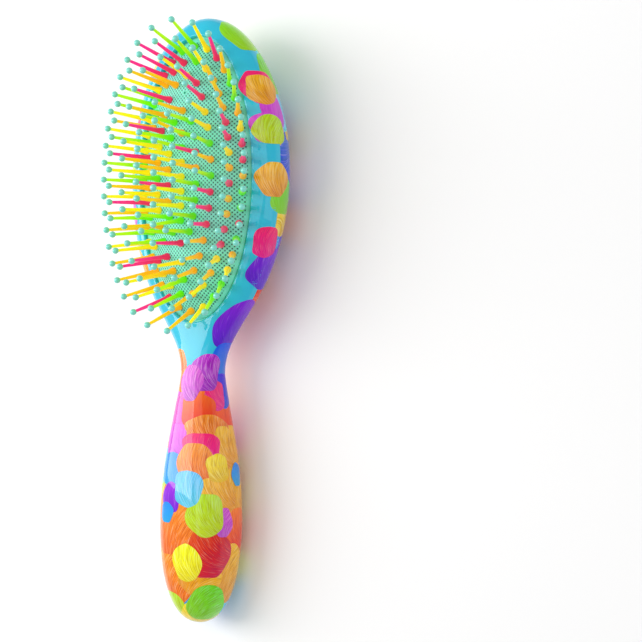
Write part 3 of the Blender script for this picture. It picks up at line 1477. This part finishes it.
@dataclass
class CushionPad:
    """The domed rubber pad: pitted face, plain border, inner skin and the bead in its groove."""

    dome: DomeShape
    lay: Lay
    finish: PadRubber
    travel: float
    press_axis: Vector
    cell: float = 1.16
    pit_depth: float = 0.3
    face_share: float = 0.972
    border_share: float = 0.958
    border_lift: float = 0.12
    ring_points: int = 160
    seat: float = 1.4
    bead_gap: float = 0.15
    corner: float = 0.3
    target_rings: int = 48
    inner_share: float = 0.94
    inner_rings: int = 24
    vent_sides: int = 24

    def _ring(self, t: float, depth: float = 0.0) -> list[Point]:
        """A ring of the dome's skin, sunk by a depth along its normal."""
        dome = self.dome
        return [tuple(dome.point(t, a) - dome.normal(t, a) * depth) for a in around(self.ring_points)]

    def _flat_ring(self, half_w: float, half_l: float, z: float) -> list[Point]:
        """A level oval ring."""
        centre_y = self.dome.centre_y
        return [(half_w * math.cos(a), centre_y + half_l * math.sin(a), z) for a in around(self.ring_points)]

    def _pitted_face(self, material: Finish) -> Mesh:
        """The pitted face, in the brush's own frame."""
        target = MeshSketch()
        shares = [self.face_share * (1 - i / self.target_rings) for i in range(self.target_rings)] + [0.004]
        rows = target.loft([self._ring(t) for t in shares], closed=True)
        top = self.dome.edge_z + self.dome.crown_h
        target.fan(rows[-1], (0, self.dome.centre_y, top))
        helper = new_object("pad_target", target.mesh("pad target"))
        host = new_object("pad_host", bpy.data.meshes.new("pad host"))
        mesh = grown(host, PitTree.build(), {
            "Dome": helper, "Cell": self.cell, "Depth": self.pit_depth,
            "Span": (self.dome.half_w + self.dome.half_l) * math.sqrt(2) + 1,
            "Centre Y": self.dome.centre_y, "Vent Y": self.dome.vent_y, "Vent Radius": self.dome.vent_r + 0.2,
            "Material": material}, "pad face")
        discard(helper, host)
        return mesh

    def _skin(self) -> MeshSketch:
        """The plain border, the side, and the inner skin under the whole face."""
        dome, sketch = self.dome, MeshSketch()
        low_z = dome.edge_z - self.corner
        outer = [
            self._ring(self.border_share, 0.1),
            *(self._ring(t, -self.border_lift) for t in (self.border_share, self.face_share, 0.986)),
            self._flat_ring(dome.half_w, dome.half_l, dome.edge_z + 0.1),
            self._flat_ring(dome.half_w, dome.half_l, low_z),
            self._flat_ring(dome.half_w - self.seat, dome.half_l - self.seat, low_z),
        ]
        inner, count = self.inner_share, self.inner_rings
        shares = [inner - inner * i / count for i in range(count)] + [0.01]
        rows = sketch.loft(outer + [self._ring(t, dome.rubber_t) for t in shares], closed=True)
        crown = dome.edge_z + dome.crown_h - dome.rubber_t
        sketch.fan(rows[-1], (0, dome.centre_y, crown))
        wall = [(dome.vent_r + w, z) for w, z in ((0.55, -0.1), (0.45, 0.06), (0.12, 0.06), (0.0, -0.05), (0.0, -1.4))]
        angle = math.pi / 2
        share = (dome.vent_y - dome.centre_y - dome.ridge_half_l) / (dome.half_l - dome.ridge_half_l)
        foot, up = dome.point(share, angle), dome.normal(share, angle)
        turn = up.to_track_quat("Z", "Y")
        rings = [
            [tuple(foot + turn @ Vector((r * math.cos(a), r * math.sin(a), z)))
             for a in around(self.vent_sides)]
            for r, z in wall
        ]
        sketch.loft(rings, closed=True)
        return sketch

    def build(self) -> list[Piece]:
        """Build the pad.

        Returns:
            The pad's face, which flattens as the pins are pressed, and its bead, which stays in the groove.
        """
        material = self.finish.material()
        face = self._pitted_face(material)
        face.transform(self.lay.matrix())
        plain = self._skin().mesh("pad skin", self.lay.matrix(), 0.001)
        plain.materials.append(material)
        work = bmesh.new()
        work.from_mesh(face)
        work.from_mesh(plain)
        whole = bpy.data.meshes.new("cushion pad")
        work.to_mesh(whole)
        work.free()
        whole.materials.append(material)
        pad = new_object("cushion_pad_rubber", whole)
        bead = new_object("cushion_pad_bead", self._bead())
        bead.data.materials.append(material)
        for piece in (pad, bead):
            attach(piece, "root")
            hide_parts("cushion_pad")
        anchor = self.lay.place((0, self.dome.centre_y, self.dome.edge_z))
        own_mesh(pad)
        return [pad, bead]

    def _bead(self) -> Mesh:
        """The bead round the pad's edge, with rounded corners."""
        dome, sketch = self.dome, MeshSketch()
        low, high = dome.floor_z + self.bead_gap, dome.groove_z - self.bead_gap
        grow, r, low_z = dome.groove_undercut - self.bead_gap, self.corner, dome.edge_z - self.corner
        wide_w, wide_l = dome.opening_half_w + grow, dome.opening_half_l + grow
        thin_w, thin_l = dome.half_w, dome.half_l
        in_w, in_l = thin_w - self.seat, thin_l - self.seat
        rows = [
            self._flat_ring(*oval) for oval in (
                (thin_w, thin_l, low_z), (thin_w, thin_l, high), (wide_w - r, wide_l - r, high),
                (wide_w, wide_l, high - r), (wide_w, wide_l, low + r), (wide_w - r, wide_l - r, low),
                (in_w, in_l, low), (in_w, in_l, low_z))
        ]
        numbers = sketch.loft(rows, closed=True)
        sketch.strip(numbers[-1], numbers[0], closed=True)
        return sketch.mesh("pad bead", self.lay.matrix(), 0.001)


# ---------------------------------------------------------------- pins


@dataclass
class PinShape:
    """One pin and its ball, in millimetres, standing on its own Z axis with 0 at the pad's surface."""

    length: float = 17.4
    shank_base_r: float = 0.92
    shank_end_r: float = 0.58
    flare_r: float = 1.48
    neck_r: float = 0.85
    foot_r: float = 1.6
    foot_t: float = 0.8
    rubber_t: float = 1.5
    gap: float = 0.15
    flare_l: float = 3.2
    ball_r: float = 1.3
    sides: int = 14

    def _lathe(self, name: str, profile: list[tuple[float, float]]) -> Mesh:
        """A turned shape with an "along" attribute that runs from 0 at the pad to 1 at the ball."""
        sketch = MeshSketch()
        turns = around(self.sides)
        rows = sketch.loft([[(r * math.cos(a), r * math.sin(a), z) for a in turns] for r, z in profile], closed=True)
        sketch.fan(rows[0], (0, 0, profile[0][1]))
        sketch.fan(rows[-1], (0, 0, profile[-1][1]))
        mesh = sketch.mesh(name, None, 0.0005, 50.0)
        along = mesh.attributes.new("along", "FLOAT", "POINT")
        for vertex, value in zip(mesh.vertices, along.data):
            value.value = clamped(vertex.co.z / self.length)
        return mesh

    def pin(self) -> Mesh:
        """The pin: flat foot, neck through the rubber, rounded flare and tapering shank."""
        foot_z = -self.rubber_t - self.gap
        end_z = self.length - math.sqrt(self.ball_r**2 - self.shank_end_r**2) + 0.05
        profile = [
            (self.foot_r - 0.15, foot_z - self.foot_t), (self.foot_r, foot_z - self.foot_t + 0.15),
            (self.foot_r, foot_z), (self.neck_r, foot_z), (self.neck_r, -0.1), (self.flare_r - 0.1, 0.02),
            (self.flare_r, 0.35), (self.flare_r - 0.04, 0.8), (self.flare_r - 0.2, 1.5),
            (self.shank_base_r + 0.08, self.flare_l - 0.7), (self.shank_base_r, self.flare_l + 0.3),
            (self.shank_end_r, end_z),
        ]
        return self._lathe("pin", profile)

    def ball(self) -> Mesh:
        """The ball, centred on the pin's end, very slightly longer than wide."""
        steps = 9
        profile = [
            (self.ball_r * math.sin(math.pi * i / steps), -self.ball_r * math.cos(math.pi * i / steps))
            for i in range(1, steps)
        ]
        return self._lathe("ball", profile)


@dataclass
class PinRow:
    """One row of pins: the core row on the centre line, or an oval ring round it."""

    name: str
    share: float
    end_reach: float
    half_pitch: bool
    pattern: str
    lone: str
    dome: DomeShape
    lay: Lay
    shape: PinShape
    core_half_l: float = 17.0
    core_end_lean: float = 9.5
    turn_steps: int = 360
    reach_power: int = 6
    lone_share: float = 0.4

    def _core(self) -> list[tuple[Vector, Vector]]:
        """Foot point and lean of each pin on the centre line."""
        dome, last, made = self.dome, len(self.pattern) - 1, []
        for i in range(last + 1):
            r = 1 - 2 * i / last
            lean = math.radians(self.core_end_lean * r**3)
            foot = Vector((0, dome.centre_y + self.core_half_l * r, dome.edge_z + dome.crown_h))
            made.append((foot, Vector((0, math.sin(lean), math.cos(lean)))))
        return made

    def _on_ring(self, turn: float) -> tuple[float, float]:
        """Share and angle on the dome at a turn clockwise from the head end."""
        angle = math.pi / 2 - turn
        return self.share + self.end_reach * abs(math.sin(angle)) ** self.reach_power, angle

    def _ring(self) -> list[tuple[Vector, Vector]]:
        """Foot point and lean of each pin round the ring, at equal steps of its length."""
        turns = [2 * math.pi * k / self.turn_steps for k in range(self.turn_steps + 1)]
        points = [self.dome.point(*self._on_ring(turn)) for turn in turns]
        lengths = [0.0]
        for low, high in zip(points, points[1:]):
            lengths.append(lengths[-1] + (high - low).length)
        made, k, count = [], 0, len(self.pattern)
        for i in range(count):
            want = lengths[-1] * (i + (0.5 if self.half_pitch else 0.0)) / count
            while lengths[k + 1] < want:
                k += 1
            r = (want - lengths[k]) / (lengths[k + 1] - lengths[k])
            place = self._on_ring(turns[k] + (turns[k + 1] - turns[k]) * r)
            made.append((self.dome.point(*place), self.dome.normal(*place)))
        return made

    def places(self) -> list[tuple[Vector, Vector]]:
        """Foot point and lean of each pin, clockwise from the head end as seen from the front."""
        made = self._core() if self.share == 0 else self._ring()
        if self.lone:
            place = (self.lone_share, -math.pi / 2)
            made.append((self.dome.point(*place), self.dome.normal(*place)))
        return made

    def _host(self) -> Piece:
        """A mesh of bare points, one for each pin, with its lean and colour."""
        places = self.places()
        mesh = bpy.data.meshes.new(f"{self.name} places")
        mesh.from_pydata([tuple(foot) for foot, _ in places], [], [])
        letters = [c.value for c in Colours]
        leans = [value for _, up in places for value in up]
        mesh.attributes.new("lean", "FLOAT_VECTOR", "POINT").data.foreach_set("vector", leans)
        numbers = [letters.index(letter) for letter in self.pattern + self.lone]
        mesh.attributes.new("colour", "INT", "POINT").data.foreach_set("value", numbers)
        return new_object(f"{self.name}_places", mesh)

    def build(self, tree: Tree, pin: Piece, ball: Piece,
              plastics: dict[Colours, Finish], pearl: Finish) -> list[Piece]:
        """Build the row's pins, one piece for each colour, and its balls.

        Args:
            tree: The Geometry Nodes tree that stands shapes on places.
            pin: The pin's shape.
            ball: The ball's shape.
            plastics: The material of each colour.
            pearl: The material of the balls.

        Returns:
            The finished pieces, riding on the row's own body.
        """
        host, made = self._host(), []
        for i, colour in enumerate(Colours):
            if colour.value not in self.pattern + self.lone:
                continue
            mesh = grown(host, tree, {"Shape": pin, "Colour": i, "Material": plastics[colour]}, f"{self.name} pins")
            made.append(self._piece(f"{self.name}_pins_{colour.word}", mesh))
        mesh = grown(host, tree, {
            "Shape": ball, "Every Colour": True, "Lift": self.shape.length, "Material": pearl}, f"{self.name} balls")
        made.append(self._piece(f"{self.name}_tips", mesh))
        discard(host)
        return made

    def _piece(self, node: str, mesh: Mesh) -> Piece:
        """Lay one piece down and tie it to the frame."""
        mesh.transform(self.lay.matrix())
        piece = new_object(f"{node}_moulded", mesh)
        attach(piece, self.name)
        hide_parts(node)
        return piece


@dataclass
class PinField:
    """All the rows of pins."""

    dome: DomeShape
    lay: Lay
    shape: PinShape = field(default_factory=PinShape)

    def rows(self) -> list[PinRow]:
        """The five rows, from the centre line out."""
        table = (
            ("core_row", 0.0, 0.0, False, "ogyyyyg", ""),
            ("first_ring", 0.258, -0.05, False, "oggmoggggmggomoygg", "y"),
            ("second_ring", 0.486, 0.094, False, "ymmyygogmmmooogomgoyygoymomo", ""),
            ("third_ring", 0.738, 0.0, True, "gyooommyomoommyoyogyymyggmoymgoggomm", ""),
            ("outer_ring", 0.9, 0.0, False, "gymoggoymmoggmgoyggyoomoooyooyggyyygymmg", ""),
        )
        return [PinRow(*entry, self.dome, self.lay, self.shape) for entry in table]

    def build(self) -> list[Piece]:
        """Build every row and return all the pieces."""
        plastics = {p.colour: p.material() for p in PIN_PLASTICS}
        pearl = PearlBall().material()
        pin = new_object("pin_shape", self.shape.pin())
        ball = new_object("ball_shape", self.shape.ball())
        tree, made = PinTree.build(), []
        for row in self.rows():
            pieces = row.build(tree, pin, ball, plastics, pearl)
            log.info("%s: %d pins", row.name, len(row.pattern))
            made += pieces
        discard(pin, ball)
        return made


# ---------------------------------------------------------------- studio


@dataclass
class Studio:
    """Pale floor, soft lights and the camera."""

    lay: Lay
    floor_half: float = 3.0
    floor_drop: float = 0.0004
    swing: float = 33.17
    dip: float = 0.8
    roll: float = 0.74
    target: Point = (55.7, -58.4, 0.0)
    distance: float = 571.3
    lens: float = 84.7
    sensor: float = 36.0

    def floor(self) -> None:
        """A level pale floor under the brush."""
        sketch = MeshSketch()
        h = self.floor_half
        sketch.faces.append(sketch.row([(-h, -h, 0), (h, -h, 0), (h, h, 0), (-h, h, 0)]))
        mesh = sketch.mesh("floor")
        mesh.transform(Matrix.Translation((0, 0, -self.floor_drop)))
        floor = new_object("studio_floor", mesh)
        material, g, shader = fresh_material("pale floor")
        where = g.node("ShaderNodeTexCoord").outputs["Object"]
        cloud = g.noise(where, 3.0, 2.0).outputs[0]
        g.feed(shader.inputs["Base Color"], g.mixed(cloud, (0.90, 0.90, 0.90, 1), (0.93, 0.93, 0.93, 1)))
        shader.inputs["Roughness"].default_value = 0.7
        floor.data.materials.append(material)

    def softbox(self, name: str, place: Point, aim: Point, size: tuple[float, float], power: float) -> None:
        """One rectangular area light.

        Args:
            name: Name of the light.
            place: Where it is, in metres.
            aim: What it points at.
            size: Its width and height.
            power: Its power in watts.
        """
        data = bpy.data.lights.new(name, "AREA")
        data.shape = "RECTANGLE"
        data.size, data.size_y = size
        data.energy = power
        lamp = bpy.data.objects.new(name, data)
        lamp.location = place
        lamp.rotation_euler = (Vector(aim) - Vector(place)).to_track_quat("-Z", "Y").to_euler()
        bpy.context.scene.collection.objects.link(lamp)

    def lights(self) -> None:
        """A strong key from the left, a weak fill from the right, one overhead, and an even white surround."""
        self.softbox("softbox_left", (-0.62, 0.1, 0.62), (0, 0, 0.02), (0.5, 1.2), 7.8)
        self.softbox("softbox_right", (0.85, 0.0, 0.35), (0, 0, 0.02), (0.3, 1.3), 1.3)
        self.softbox("softbox_top", (0.2, 0.15, 1.1), (0, 0, 0), (0.7, 0.9), 2.3)
        world = bpy.data.worlds.new("studio surround")
        world.use_nodes = True
        sky = world.node_tree.nodes["Background"]
        sky.inputs["Color"].default_value = (1, 1, 1, 1)
        sky.inputs["Strength"].default_value = 0.46
        bpy.context.scene.world = world

    def camera(self) -> None:
        """The camera, swung to the right of the pad's normal with the head tip up."""
        data = bpy.data.cameras.new("camera")
        data.lens, data.sensor_width = self.lens, self.sensor
        data.clip_start, data.clip_end = 0.02, 20.0
        turn = (
            Matrix.Rotation(math.radians(self.swing), 4, "Y")
            @ Matrix.Rotation(math.radians(self.dip), 4, "X")
            @ Matrix.Rotation(math.radians(self.roll), 4, "Z")
        )
        own = Matrix.Translation(self.target) @ turn @ Matrix.Translation((0, 0, self.distance))
        placed = self.lay.matrix() @ own
        camera = bpy.data.objects.new("camera", data)
        camera.location = placed.to_translation()
        camera.rotation_mode = "QUATERNION"
        camera.rotation_quaternion = placed.to_quaternion()
        bpy.context.scene.collection.objects.link(camera)
        bpy.context.scene.camera = camera

    def build(self) -> None:
        """Set everything up."""
        self.floor()
        self.lights()
        self.camera()
        bpy.context.scene.view_settings.view_transform = "Standard"


# ---------------------------------------------------------------- the whole brush


def press_joint() -> tuple[Vector, float]:
    """The crown's pressing axis and its travel in millimetres, from the frame."""
    joint = next(j for j in frame["record"]["behaviour"]["joints"] if j["name"] == "core_row_press")
    return Vector(joint["axis"]).normalized(), joint["range_m"][1] / MM


def main() -> None:
    """Build the brush and the studio, and report each piece."""
    logging.basicConfig(level=logging.INFO, format="%(name)s: %(message)s")
    body, dome = BodyShape(), DomeShape()
    axis, travel = press_joint()
    lay = Lay(body, math.atan2(axis.y, -axis.z))
    back = PaintedLacquer("back lacquer", Half.BACK, BACK_ZONES, TEAL, lay)
    front = PaintedLacquer("front lacquer", Half.FRONT, FRONT_ZONES, AQUA, lay)
    pieces = [
        RearShell(body, lay, back).build(),
        FrontShell(body, lay, front, dome=dome).build(),
        LaidPaint(body, lay).build(),
        *CushionPad(dome, lay, PadRubber(), travel, -axis).build(),
        *PinField(dome, lay).build(),
    ]
    for piece in pieces:
        log.info("%s: %d faces", piece.name, len(piece.data.polygons))
    Studio(lay).build()


if __name__ == "__main__":
    main()
